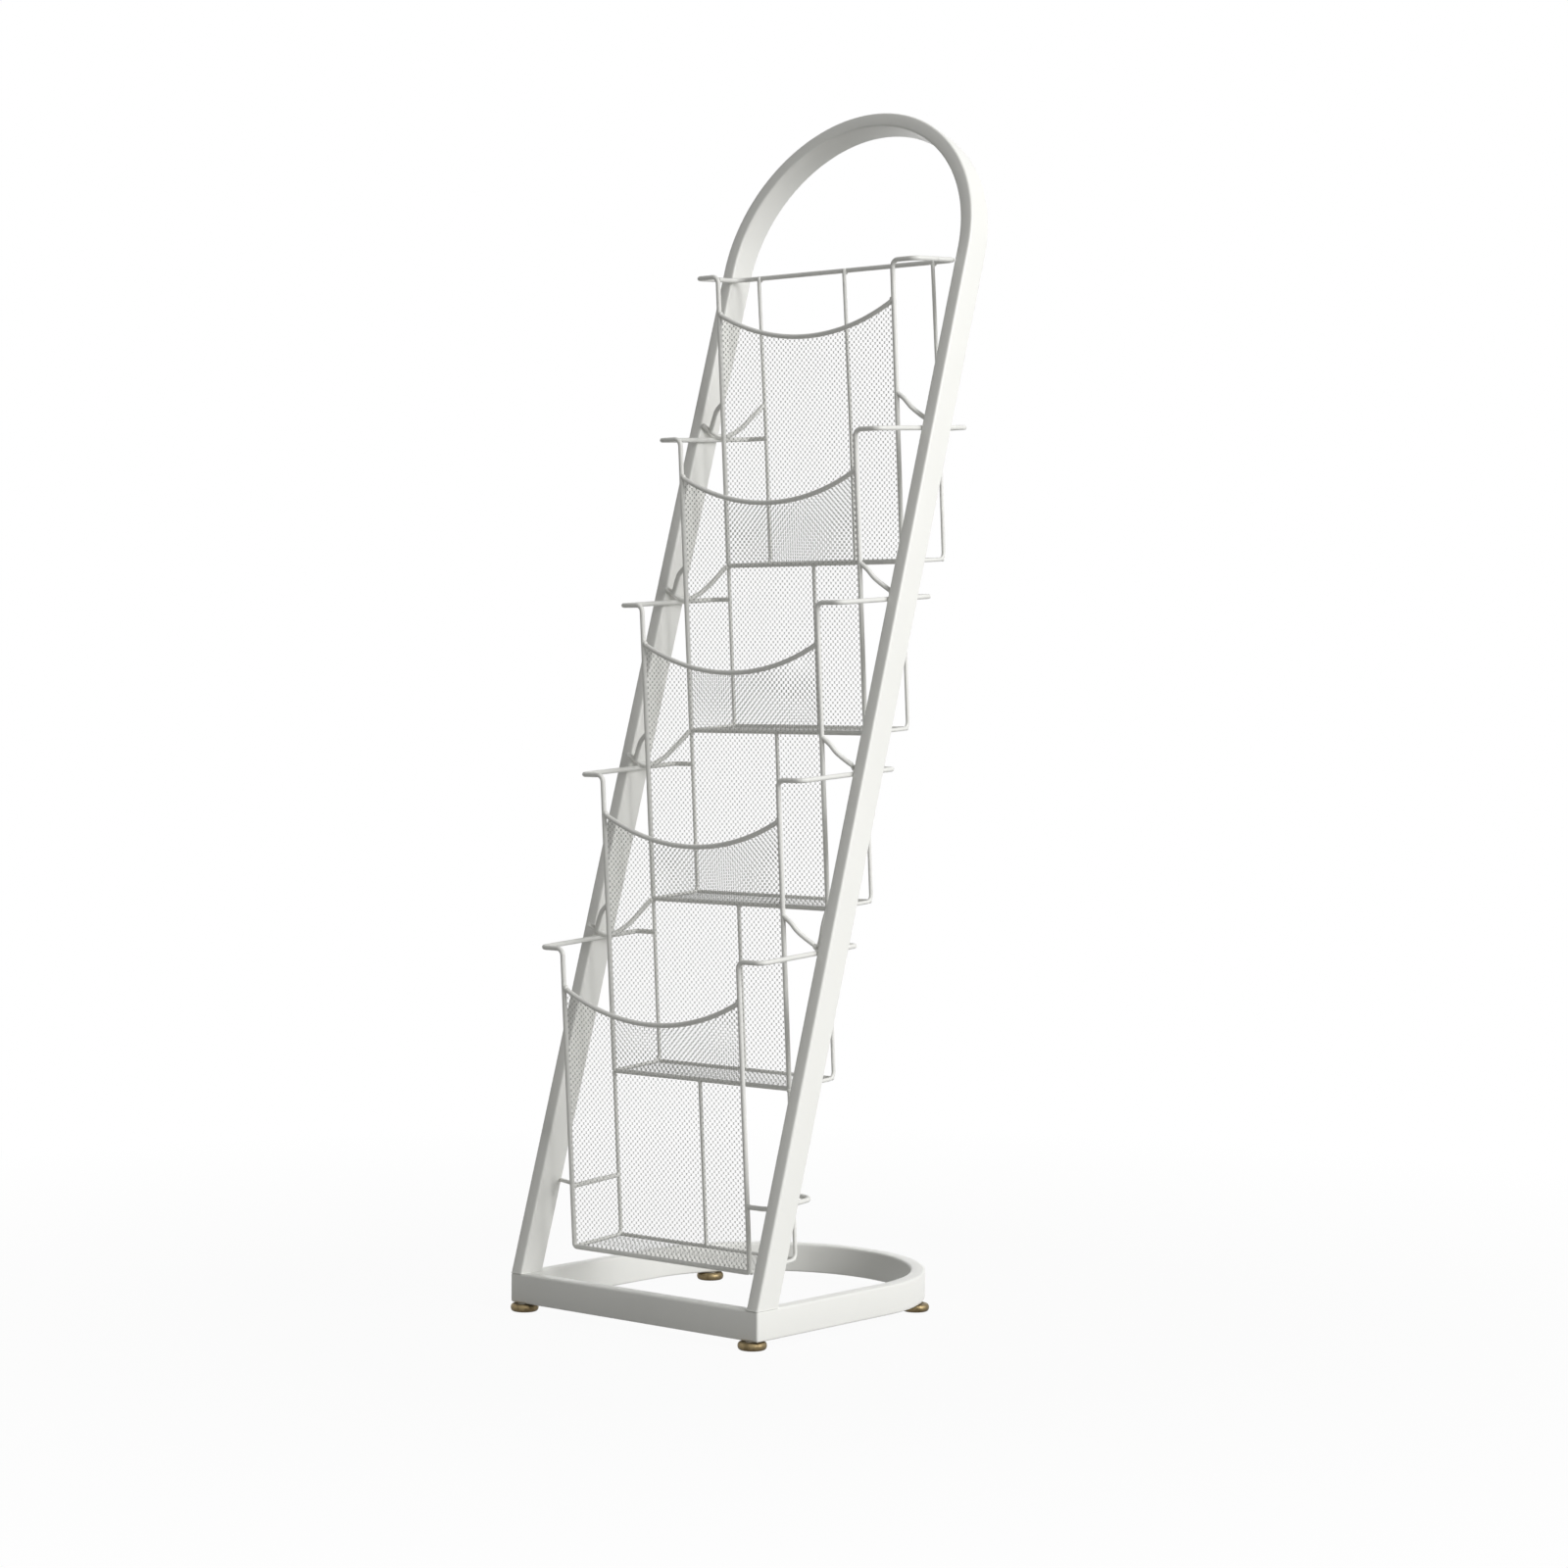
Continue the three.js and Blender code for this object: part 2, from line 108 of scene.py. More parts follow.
class RackFrameSizes(bpy.types.PropertyGroup):
    """Sizes of the tube frame and its feet."""

    tube_corner: length("Tube corner", "Outside radius of the tube's corners", 0.0024)
    leg_lean: turn("Leg lean", "How far the arch leans back", 16.8)
    leg_length: length("Leg length", "Leg from the base to the arch's bend", 1.092)
    base_corner: length("Base corner", "Radius of the base's upright front corners", 0.0022)
    foot_radius: length("Foot radius", "Outside radius of a levelling foot", 0.0142)
    foot_pad: length("Foot pad", "Radius of a foot's flat pad", 0.0115)
    foot_height: length("Foot height", "Height of a foot without its stem", 0.0077)
    bead: length("Weld bead", "Radius of the weld round a leg", 0.0005)


class RackPocketSizes(bpy.types.PropertyGroup):
    """Sizes of the wire pockets."""

    side: length("Half width", "Middle of the rack to a pocket's side wires", 0.11725)
    depth: length("Depth", "Front wires to rear wires", 0.0692)
    height: length("Height", "Rim to bottom wire", 0.3044)
    rise: length("Rise", "Step from one pocket to the next", 0.17018059)
    pitch: turn("Pitch", "How far a pocket leans back at its foot", 3.98)
    rim_forward: length("Lowest rim", "Lowest rim behind the base's front", 0.0226)
    rim_height: length("Lowest rim height", "Lowest rim above the floor", 0.3687)
    wire: length("Wire radius", "Radius of the thick wires", 0.0025)
    upright: length("Upright radius", "Radius of the thin wires", 0.002)
    arm_out: length("Arm reach", "Side wire to the arm beside the leg", 0.02995)
    arm_past: length("Arm overlap", "Arm behind the next pocket's rear wires", 0.005)
    arm_short: length("Arm end", "Side wire to the arm's turned-in rear end", 0.0038)
    bend: length("Bend", "Bend of the wide corners", 0.013)
    ear_bend: length("Ear bend", "Bend from a front ear to its arm", 0.008)
    tight_bend: length("Tight bend", "Bend of the tight corners", 0.007)
    sharp_bend: length("Sharp bend", "Bend of the bottom corners and the arms' rear ends", 0.0035)
    scoop_drop: length("Scoop drop", "Rim to the scoop's ends", 0.0395)
    scoop_sag: length("Scoop sag", "Scoop's ends to its lowest point", 0.030)
    loop_height: length("Loop height", "Rim to the lowest pocket's side loop", 0.2395)
    loop_skew: length("Loop skew", "How far the loop's outer run stops short of the rear wires", 0.007)
    rail_drop: length("Rail drop", "Level of the left rail below the loop", 0.003)
    tie_back: length("Tie back", "Front wires to the left tie's end at the leg", 0.016)
    tie_drop: length("Tie drop", "Level of the left tie's end below the loop", 0.0025)


class RackNetSizes(bpy.types.PropertyGroup):
    """Sizes of the expanded metal."""

    long_way: length("Long way", "Diamond pitch across the sheet", 0.0061)
    short_way: length("Short way", "Diamond pitch down the sheet", 0.0059)
    strand: length("Strand", "Half height of a strand at its joints", 0.00061)
    waist: length("Waist", "Half height of a strand between its joints", 0.00005)
    thickness: length("Thickness", "Half thickness of the metal", 0.00009)
    bond: length("Bond", "Half length of a joint between strands", 0.00098)
    tilt: turn("Tilt", "How far the front strands' faces lean toward the floor", 30)


class RackFinish(bpy.types.PropertyGroup):
    """Colours of the finishes."""

    coat: colour("Powder coat", "White powder coat", (0.84, 0.84, 0.81))
    brass: colour("Brass", "Clean brass of the feet", (0.27, 0.21, 0.115))
    # The tarnish colour is also painted as shade at the bottom of the feet.
    tarnish_and_shade: colour("Tarnish", "Dull brass of the feet", (0.055, 0.038, 0.018))
    steel: colour("Steel", "Zinc plate of the inserts", (0.62, 0.61, 0.58))
    steel_dull: colour("Dull steel", "Dull zinc plate", (0.40, 0.40, 0.38))


def settings():
    """The scene's size and colour groups."""
    scene = bpy.context.scene
    return scene.rack_frame, scene.rack_pockets, scene.rack_net, scene.rack_finish


# Node groups and materials.


def node_at(tree, kind, **values):
    """A new node with its settings."""
    node = tree.nodes.new(kind)
    for key, value in values.items():
        setattr(node, key, value)
    return node


def new_group(name, inputs, outputs):
    """A shader node group with named sockets, and its two end nodes."""
    group = bpy.data.node_groups.new(name, "ShaderNodeTree")
    for label, kind, value in inputs:
        socket = group.interface.new_socket(name=label, in_out="INPUT", socket_type=kind)
        socket.default_value = value
    for label, kind in outputs:
        group.interface.new_socket(name=label, in_out="OUTPUT", socket_type=kind)
    return group, node_at(group, "NodeGroupInput"), node_at(group, "NodeGroupOutput")


def noise_node(group, coordinates, scale, detail):
    """A noise texture over object coordinates; scale is a number or a socket."""
    noise = node_at(group, "ShaderNodeTexNoise")
    noise.inputs["Detail"].default_value = detail
    group.links.new(coordinates, noise.inputs["Vector"])
    if isinstance(scale, bpy.types.NodeSocket):
        group.links.new(scale, noise.inputs["Scale"])
    else:
        noise.inputs["Scale"].default_value = scale
    return noise.outputs["Fac"]


def range_node(group, value, low, high, to_low, to_high):
    """Maps a value from one range to another; the new ends are numbers or sockets."""
    mapper = node_at(group, "ShaderNodeMapRange")
    group.links.new(value, mapper.inputs["Value"])
    mapper.inputs["From Min"].default_value = low
    mapper.inputs["From Max"].default_value = high
    for label, end in (("To Min", to_low), ("To Max", to_high)):
        if isinstance(end, bpy.types.NodeSocket):
            group.links.new(end, mapper.inputs[label])
        else:
            mapper.inputs[label].default_value = end
    return mapper.outputs["Result"]


def colour_mix(group, factor, first, second):
    """Mixes two colour sockets."""
    mix = node_at(group, "ShaderNodeMix", data_type="RGBA")
    ends = {socket.name: socket for socket in mix.inputs if socket.type == "RGBA"}
    group.links.new(factor, mix.inputs["Factor"])
    group.links.new(first, ends["A"])
    group.links.new(second, ends["B"])
    return next(socket for socket in mix.outputs if socket.type == "RGBA")


def surface_group():
    """Mottling of two colours with a fine grain, and the dull colour painted as shade near the floor, for
    every finish here.
    """
    name = "rack_surface"
    if name in bpy.data.node_groups:
        return bpy.data.node_groups[name]
    group, start, end = new_group(
        name,
        [
            ("Clean", "NodeSocketColor", (1, 1, 1, 1)),
            ("Dull", "NodeSocketColor", (0.5, 0.5, 0.5, 1)),
            ("Mottle Scale", "NodeSocketFloat", 20),
            ("Mottle Low", "NodeSocketFloat", 0.4),
            ("Mottle High", "NodeSocketFloat", 0.7),
            ("Grain Scale", "NodeSocketFloat", 800),
            ("Smooth", "NodeSocketFloat", 0.35),
            ("Rough", "NodeSocketFloat", 0.5),
            ("Painted Shade", "NodeSocketFloat", 0),
            ("Painted Shade Height", "NodeSocketFloat", 0.006),
        ],
        [
            ("Colour", "NodeSocketColor"),
            ("Roughness", "NodeSocketFloat"),
            ("Height", "NodeSocketFloat"),
        ],
    )
    place = node_at(group, "ShaderNodeTexCoord").outputs["Object"]
    mottle = noise_node(group, place, start.outputs["Mottle Scale"], 4)
    grain = noise_node(group, place, start.outputs["Grain Scale"], 2)
    patch = node_at(group, "ShaderNodeMapRange")
    group.links.new(mottle, patch.inputs["Value"])
    group.links.new(start.outputs["Mottle Low"], patch.inputs["From Min"])
    group.links.new(start.outputs["Mottle High"], patch.inputs["From Max"])
    mixed = colour_mix(group, patch.outputs["Result"], start.outputs["Clean"], start.outputs["Dull"])
    # Painted shade: below the shade height the colour runs into the dull colour, a painted contact shadow at
    # the floor.
    above = node_at(group, "ShaderNodeSeparateXYZ")
    group.links.new(place, above.inputs["Vector"])
    low = node_at(group, "ShaderNodeMapRange")
    group.links.new(above.outputs["Z"], low.inputs["Value"])
    group.links.new(start.outputs["Painted Shade Height"], low.inputs["From Min"])
    low.inputs["From Max"].default_value = 0
    group.links.new(start.outputs["Painted Shade"], low.inputs["To Max"])
    floor_shaded = colour_mix(group, low.outputs["Result"], mixed, start.outputs["Dull"])
    rough = range_node(group, grain, 0.3, 0.7, start.outputs["Smooth"], start.outputs["Rough"])
    group.links.new(floor_shaded, end.inputs["Colour"])
    group.links.new(rough, end.inputs["Roughness"])
    group.links.new(grain, end.inputs["Height"])
    return group


def finish(name, clean, dull, metallic, values, bump):
    """A material whose colour, roughness and grain come from the surface group."""
    if name in bpy.data.materials:
        return bpy.data.materials[name]
    material = bpy.data.materials.new(name)
    material.use_nodes = True
    material.diffuse_color = (*clean, 1)
    tree = material.node_tree
    shader = tree.nodes["Principled BSDF"]
    shader.inputs["Metallic"].default_value = metallic
    surface = node_at(tree, "ShaderNodeGroup", node_tree=surface_group())
    surface.inputs["Clean"].default_value = (*clean, 1)
    surface.inputs["Dull"].default_value = (*dull, 1)
    for label, value in values.items():
        surface.inputs[label].default_value = value
    relief = node_at(tree, "ShaderNodeBump")
    relief.inputs["Strength"].default_value = bump[0]
    relief.inputs["Distance"].default_value = bump[1]
    tree.links.new(surface.outputs["Colour"], shader.inputs["Base Color"])
    tree.links.new(surface.outputs["Roughness"], shader.inputs["Roughness"])
    tree.links.new(surface.outputs["Height"], relief.inputs["Height"])
    tree.links.new(relief.outputs["Normal"], shader.inputs["Normal"])
    return material


def shaded(tone, share):
    """A colour brought down evenly."""
    return tuple(channel * share for channel in tone)


def tube_coat():
    """White powder coat on the frame's tube, with a fine orange peel."""
    coat = settings()[3].coat
    values = {
        "Mottle Scale": 9,
        "Mottle Low": 0.35,
        "Mottle High": 0.75,
        "Grain Scale": 900,
        "Smooth": 0.28,
        "Rough": 0.4,
    }
    return finish("powder_coat_tube", tuple(coat), shaded(coat, 0.965), 0, values, (0.16, 0.0002))


def shaded_wire_coat():
    """White powder coat on the wires, a little smoother where it ran together, and darker than the tube's as
    painted shade.
    """
    coat = settings()[3].coat
    values = {
        "Mottle Scale": 40,
        "Mottle Low": 0.35,
        "Mottle High": 0.75,
        "Grain Scale": 1100,
        "Smooth": 0.32,
        "Rough": 0.46,
    }
    # Painted shade: the wires take the white coat at 0.92, a little darker than the tube.
    return finish("powder_coat_wire_shaded", shaded(coat, 0.92), shaded(coat, 0.88), 0, values, (0.12, 0.0002))


def shaded_net_coat():
    """White powder coat on the thin strands of the expanded metal, darkened as painted shade."""
    coat = settings()[3].coat
    values = {
        "Mottle Scale": 60,
        "Mottle Low": 0.3,
        "Mottle High": 0.8,
        "Grain Scale": 1400,
        "Smooth": 0.42,
        "Rough": 0.58,
    }
    # Painted shade: the strands take the white coat at 0.57, so they read as lying in shade.
    return finish("powder_coat_net_shaded", shaded(coat, 0.57), shaded(coat, 0.53), 0, values, (0.08, 0.0001))


def foot_brass():
    """Turned brass that has gone brown in patches, with painted shade darkening its bottom towards the
    floor.
    """
    tones = settings()[3]
    values = {
        "Mottle Scale": 160,
        "Mottle Low": 0.46,
        "Mottle High": 0.86,
        "Grain Scale": 2400,
        "Smooth": 0.36,
        "Rough": 0.58,
        # Painted shade: the lowest few millimetres of each foot turn to the dark tarnish colour as a painted
        # contact shadow.
        "Painted Shade": 0.95,
        "Painted Shade Height": 0.0058,
    }
    return finish("aged_brass", tuple(tones.brass), tuple(tones.tarnish_and_shade), 1, values, (0.2, 0.0001))


def insert_zinc():
    """Zinc plate with dull patches."""
    tones = settings()[3]
    values = {
        "Mottle Scale": 220,
        "Mottle Low": 0.4,
        "Mottle High": 0.65,
        "Grain Scale": 2600,
        "Smooth": 0.34,
        "Rough": 0.55,
    }
    return finish("zinc_plate", tuple(tones.steel), tuple(tones.steel_dull), 1, values, (0.15, 0.0001))


# Mesh making.

WIRE_RING = 16
BEND_STEPS = 9
DOME_RINGS = 3
SHARP = math.radians(42)
SAME_PLACE = 1e-7


def add_piece(name, parts, material, body=BODY, nodes=()):
    """Joins vertex and face lists into one smooth mesh object that rides on a body."""
    verts = []
    faces = []
    for part_verts, part_faces in parts:
        first = len(verts)
        verts.extend(part_verts)
        faces.extend(tuple(first + i for i in face) for face in part_faces)
    mesh = bpy.data.meshes.new(name)
    mesh.from_pydata(verts, [], faces)
    mesh.polygons.foreach_set("use_smooth", [True] * len(mesh.polygons))
    mesh.set_sharp_from_angle(angle=SHARP)
    mesh.materials.append(material)
    piece = bpy.data.objects.new(name, mesh)
    bpy.context.scene.collection.objects.link(piece)
    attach(piece, body)
    if nodes:
        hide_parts(*nodes)
    return piece


def bridge(faces, first, second):
    """Quads between two rings of vertex numbers."""
    count = len(first)
    for i in range(count):
        j = (i + 1) % count
        faces.append((first[i], first[j], second[j], second[i]))


def rounded_path(corners, steps=BEND_STEPS):
    """Points along straight runs, with each inner corner turned into an arc of its own radius."""
    points = [corners[0][0]]
    for i in range(1, len(corners) - 1):
        corner, radius = corners[i]
        back = (corners[i - 1][0] - corner).normalized()
        onward = (corners[i + 1][0] - corner).normalized()
        half = back.angle(onward) / 2
        centre = corner + (back + onward).normalized() * (radius / math.sin(half))
        start = corner + back * (radius / math.tan(half)) - centre
        axis = onward.cross(back).normalized()
        sweep_angle = math.pi - 2 * half
        for s in range(steps + 1):
            points.append(centre + Matrix.Rotation(sweep_angle * s / steps, 3, axis) @ start)
    points.append(corners[-1][0])
    return points


def smooth_path(points, steps=6):
    """A curve through the points that keeps their order and spacing."""
    ends = [2 * points[0] - points[1], *points, 2 * points[-1] - points[-2]]
    path = []
    for i in range(1, len(ends) - 2):
        a, b, c, d = ends[i - 1 : i + 3]
        for s in range(steps):
            t = s / steps
            path.append(
                0.5
                * (
                    2 * b
                    + (c - a) * t
                    + (2 * a - 5 * b + 4 * c - d) * t * t
                    + (3 * b - a - 3 * c + d) * t * t * t
                )
            )
    path.append(points[-1])
    return path


def tangents(points):
    """The direction of a path at each of its points."""
    result = []
    last = len(points) - 1
    for i in range(len(points)):
        run = Vector((0, 0, 0))
        if i > 0:
            run += (points[i] - points[i - 1]).normalized()
        if i < last:
            run += (points[i + 1] - points[i]).normalized()
        result.append(run.normalized())
    return result


def wire_along(points, radius, ring=WIRE_RING):
    """A round wire with softly domed ends."""
    directions = tangents(points)
    side = directions[0].orthogonal().normalized()
    rings = []
    for i, direction in enumerate(directions):
        if i > 0:
            side = directions[i - 1].rotation_difference(direction) @ side
        other = direction.cross(side)
        rings.append((points[i], direction, side, other, radius))
    start, end = rings[0], rings[-1]
    domes = [math.pi / 2 * (n + 1) / (DOME_RINGS + 1) for n in range(DOME_RINGS)]
    for a in domes:
        grown = radius * math.sin(a) * 0.6
        rings.insert(0, (start[0] - start[1] * grown, *start[1:4], radius * math.cos(a)))
        rings.append((end[0] + end[1] * grown, *end[1:4], radius * math.cos(a)))
    verts = []
    faces = []
    loops = []
    for centre, _, side, other, size in rings:
        loop = []
        for n in range(ring):
            a = 2 * math.pi * n / ring
            loop.append(len(verts))
            verts.append(centre + side * (size * math.cos(a)) + other * (size * math.sin(a)))
        loops.append(loop)
    for first, second in zip(loops, loops[1:]):
        bridge(faces, first, second)
    faces.append(tuple(reversed(loops[0])))
    faces.append(tuple(loops[-1]))
    return verts, faces


def tube_section(face, depth, corner, steps=4):
    """A rounded rectangle, as offsets across the tube's face and through its depth."""
    points = []
    for sx, sy, first in ((1, 1, 0), (-1, 1, 90), (-1, -1, 180), (1, -1, 270)):
        for s in range(steps + 1):
            a = math.radians(first + 90 * s / steps)
            points.append(
                (
                    sx * (face / 2 - corner) + corner * math.cos(a),
                    sy * (depth / 2 - corner) + corner * math.sin(a),
                )
            )
    return points


def skin(loops):
    """A closed body through loops of points, with its two ends capped."""
    verts = []
    faces = []
    numbered = []
    for loop in loops:
        numbers = []
        for i, point in enumerate(loop):
            if numbered and (point - verts[numbered[-1][i]]).length < SAME_PLACE:
                numbers.append(numbered[-1][i])
            else:
                numbers.append(len(verts))
                verts.append(point)
        numbered.append(numbers)
    for first, second in zip(numbered, numbered[1:]):
        quads = []
        bridge(quads, first, second)
        for quad in quads:
            distinct = tuple(dict.fromkeys(quad))
            if len(distinct) > 2:
                faces.append(distinct)
    faces.append(tuple(reversed(numbered[0])))
    faces.append(tuple(numbered[-1]))
    return verts, faces


def lathe(profile, centre, ring=64):
    """A turned body from radius and height pairs that start and end on its axis."""
    verts = []
    faces = []
    loops = []
    for radius, height in profile:
        if radius == 0:
            loops.append([len(verts)])
            verts.append(centre + Vector((0, 0, height)))
            continue
        loop = []
        for n in range(ring):
            a = 2 * math.pi * n / ring
            loop.append(len(verts))
            verts.append(centre + Vector((radius * math.cos(a), radius * math.sin(a), height)))
        loops.append(loop)
    for first, second in zip(loops, loops[1:]):
        if len(first) == 1:
            faces.extend((first[0], second[(n + 1) % ring], second[n]) for n in range(ring))
        elif len(second) == 1:
            faces.extend((first[n], first[(n + 1) % ring], second[0]) for n in range(ring))
        else:
            bridge(faces, first, second)
    return verts, faces


def nugget(centre, long, wide, high):
    """A low weld bead: a slightly lumpy rounded lens on three half-axes."""
    verts = [centre - high]
    faces = []
    loops = []
    ring = 12
    rows = 6
    for row in range(1, rows):
        lift = -math.cos(math.pi * row / rows)
        spread = math.sin(math.pi * row / rows)
        loop = []
        for n in range(ring):
            a = 2 * math.pi * n / ring
            lump = 1 + 0.06 * math.sin(3 * a + row)
            loop.append(len(verts))
            verts.append(
                centre
                + long * (spread * lump * math.cos(a))
                + wide * (spread * lump * math.sin(a))
                + high * lift
            )
        loops.append(loop)
    top = len(verts)
    verts.append(centre + high)
    for first, second in zip(loops, loops[1:]):
        bridge(faces, first, second)
    for n in range(ring):
        m = (n + 1) % ring
        faces.append((0, loops[0][m], loops[0][n]))
        faces.append((top, loops[-1][n], loops[-1][m]))
    return verts, faces


# The tube frame.

ARC_STEPS = 96
CORNER_TURN = (45, 54, 63, 72, 81, 90)


def lean_axes(lean):
    """The leaning arch's up and back directions."""
    up = Vector((0, math.sin(lean), math.cos(lean)))
    back = Vector((0, math.cos(lean), -math.sin(lean)))
    return up, back


def arch_point(sizes, across, along, through):
    """A point of the leaning arch: x, distance up the leg, and depth behind its front face."""
    up, back = lean_axes(sizes.leg_lean)
    foot = Vector((0, FRONT_Y, BASE_TOP))
    return foot + Vector((across, 0, 0)) + up * along + back * through


def arch_loops(sizes):
    """Section loops of the arch, from the left foot over the top to the right foot."""
    section = tube_section(TUBE_FACE, TUBE_DEPTH, sizes.tube_corner)
    middle = HALF_WIDTH - TUBE_FACE / 2
    rise = math.tan(sizes.leg_lean)
    loops = []
    for side in (-1, 1):
        loop = []
        for out, deep in section:
            through = deep + TUBE_DEPTH / 2
            loop.append(arch_point(sizes, side * (middle + out), through * rise, through))
        if side < 0:
            loops.append(loop)
            for i in range(ARC_STEPS + 1):
                a = math.pi * (1 - i / ARC_STEPS)
                loops.append(
                    [
                        arch_point(
                            sizes,
                            (middle + out) * math.cos(a),
                            sizes.leg_length + (middle + out) * math.sin(a),
                            deep + TUBE_DEPTH / 2,
                        )
                        for out, deep in section
                    ]
                )
        else:
            loops.append(loop)
    return loops


def leg_weld(sizes, side):
    """A bead of weld round a leg where it stands on the base."""
    middle = HALF_WIDTH - TUBE_FACE / 2
    section = tube_section(TUBE_FACE, TUBE_DEPTH, sizes.tube_corner, 5)
    rise = math.tan(sizes.leg_lean)
    path = []
    for out, deep in section:
        through = deep + TUBE_DEPTH / 2
        path.append(arch_point(sizes, side * (middle + out), through * rise, through))
    dense = []
    for n, point in enumerate(path):
        following = path[(n + 1) % len(path)]
        cuts = max(1, int((following - point).length / 0.0012))
        dense.extend(point.lerp(following, c / cuts) for c in range(cuts))
    verts = []
    faces = []
    loops = []
    ring = 10
    count = len(dense)
    for n in range(count):
        run = (dense[(n + 1) % count] - dense[n - 1]).normalized()
        out = run.cross(Vector((0, 0, 1))).normalized()
        size = sizes.bead * (0.9 + 0.16 * math.sin(2 * math.pi * n / 2.6))
        loop = []
        for k in range(ring):
            a = 2 * math.pi * k / ring
            loop.append(len(verts))
            verts.append(dense[n] + out * (size * math.cos(a)) + Vector((0, 0, size * math.sin(a))))
        loops.append(loop)
    for n in range(count):
        bridge(faces, loops[n], loops[(n + 1) % count])
    return verts, faces


class RACK_OT_arch(bpy.types.Operator):
    """Builds the leaning arch as one bent tube with rounded corners, welded to the base"""

    bl_idname = "rack.arch"
    bl_label = "Arch"

    def execute(self, context):
        sizes = context.scene.rack_frame
        add_piece("arch_tube", [skin(arch_loops(sizes))], tube_coat(), nodes=("arch_frame",))
        for word, side in SIDES:
            add_piece("leg_weld_" + word, [leg_weld(sizes, side)], tube_coat())
        return {"FINISHED"}


def corner_loop(sizes, side, degrees, section):
    """A section loop in a rounded front corner, from straight out (0) to straight ahead (90)."""
    lift = (BASE_UNDER + BASE_TOP) / 2
    a = math.radians(degrees)
    loop = []
    for inset, high in section:
        radius = max(sizes.base_corner - inset, 0)
        turned = inset + radius
        x = HALF_WIDTH - turned + radius * math.cos(a)
        y = FRONT_Y + turned - radius * math.sin(a)
        loop.append(Vector((side * x, y, lift + high)))
    return loop


def bar_loops(sizes):
    """Section loops of the base's front bar, mitred at both ends."""
    section = [
        (TUBE_FACE / 2 + out, high)
        for out, high in tube_section(TUBE_FACE, TUBE_DEPTH, sizes.tube_corner)
    ]
    left = [corner_loop(sizes, -1, degrees, section) for degrees in CORNER_TURN]
    right = [corner_loop(sizes, 1, degrees, section) for degrees in reversed(CORNER_TURN)]
    return left + right


def hoop_loops(sizes):
    """Section loops of the base's hoop, from the left mitre round the back to the right one."""
    section = [
        (TUBE_FACE / 2 - out, high)
        for out, high in tube_section(TUBE_FACE, TUBE_DEPTH, sizes.tube_corner)
    ]
    lift = (BASE_UNDER + BASE_TOP) / 2
    turn_in = [90 - degrees for degrees in reversed(CORNER_TURN)]
    loops = [corner_loop(sizes, -1, degrees, section) for degrees in reversed(turn_in)]
    for i in range(ARC_STEPS + 1):
        a = math.pi * (1 - i / ARC_STEPS)
        loop = []
        for inset, high in section:
            reach = HALF_WIDTH - inset
            y = FRONT_Y + BASE_STRAIGHT + reach * math.sin(a)
            loop.append(Vector((reach * math.cos(a), y, lift + high)))
        loops.append(loop)
    loops.extend(corner_loop(sizes, 1, degrees, section) for degrees in turn_in)
    return loops


class RACK_OT_base(bpy.types.Operator):
    """Builds the base's front bar and its hoop, mitred together"""

    bl_idname = "rack.base"
    bl_label = "Base"

    def execute(self, context):
        sizes = context.scene.rack_frame
        add_piece("base_bar", [skin(bar_loops(sizes))], tube_coat(), nodes=("base_front_bar",))
        add_piece("base_bend", [skin(hoop_loops(sizes))], tube_coat(), nodes=("base_hoop",))
        return {"FINISHED"}


def foot_profile(sizes, low, high):
    """A turned foot: a bun with a flat pad and top, and a threaded stem."""
    top = low + sizes.foot_height
    swell = sizes.foot_radius - sizes.foot_pad
    stem = 0.004
    profile = [(0, low)]
    for n in range(17):
        a = math.radians(180 * n / 16 - 90)
        lift = (1 + math.sin(a)) / 2
        profile.append((sizes.foot_pad + swell * math.cos(a), low + sizes.foot_height * lift))
    profile.append((stem + 0.0022, top))
    profile.append((stem - 0.0002, top - 0.0001))
    turns = 13
    step = (high - 0.0006 - top) / turns
    for n in range(turns):
        profile.append((stem - 0.0004, top + step * (n + 0.15)))
        profile.append((stem, top + step * (n + 0.5)))
        profile.append((stem - 0.0004, top + step * (n + 0.85)))
    profile.append((stem - 0.0008, high))
    profile.append((0, high))
    return profile


class RACK_OT_feet(bpy.types.Operator):
    """Turns the four brass levelling feet and finishes the inserts they screw into"""

    bl_idname = "rack.feet"
    bl_label = "Feet"

    def execute(self, context):
        sizes = context.scene.rack_frame
        for name in FEET:
            low, high = (Vector(c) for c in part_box("foot_" + name))
            centre = Vector(((low.x + high.x) / 2, (low.y + high.y) / 2, 0))
            part = lathe(foot_profile(sizes, low.z, high.z), centre)
            add_piece(
                "levelling_foot_" + name,
                [part],
                foot_brass(),
                body=name + "_foot",
                nodes=("foot_" + name,),
            )
            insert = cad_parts["insert_" + name]
            insert.data.materials.clear()
            insert.data.materials.append(insert_zinc())
        return {"FINISHED"}


# The pockets. In a pocket, x is to the right, v is back from the front wires, w is down from the rim.


def pocket_place(sizes, number):
    """A function from a pocket's x, v and w to a point of the rack."""
    steps = POCKETS - number
    cos, sin = math.cos(sizes.pitch), math.sin(sizes.pitch)
    y0 = FRONT_Y + sizes.rim_forward + steps * (sizes.depth * cos - sizes.rise * sin)
    z0 = sizes.rim_height + steps * (sizes.depth * sin + sizes.rise * cos)

    def place(x, v, w):
        return Vector((x, y0 + v * cos + w * sin, z0 + v * sin - w * cos))

    return place


def scoop_radius(sizes):
    """The scoop is an arc of a circle through its two ends and its lowest point."""
    return (sizes.side**2 + sizes.scoop_sag**2) / (2 * sizes.scoop_sag)


def scoop_drop(sizes, x):
    """How far the scoop lies below the rim at x."""
    radius = scoop_radius(sizes)
    return sizes.scoop_drop + sizes.scoop_sag - radius + math.sqrt(radius**2 - x**2)


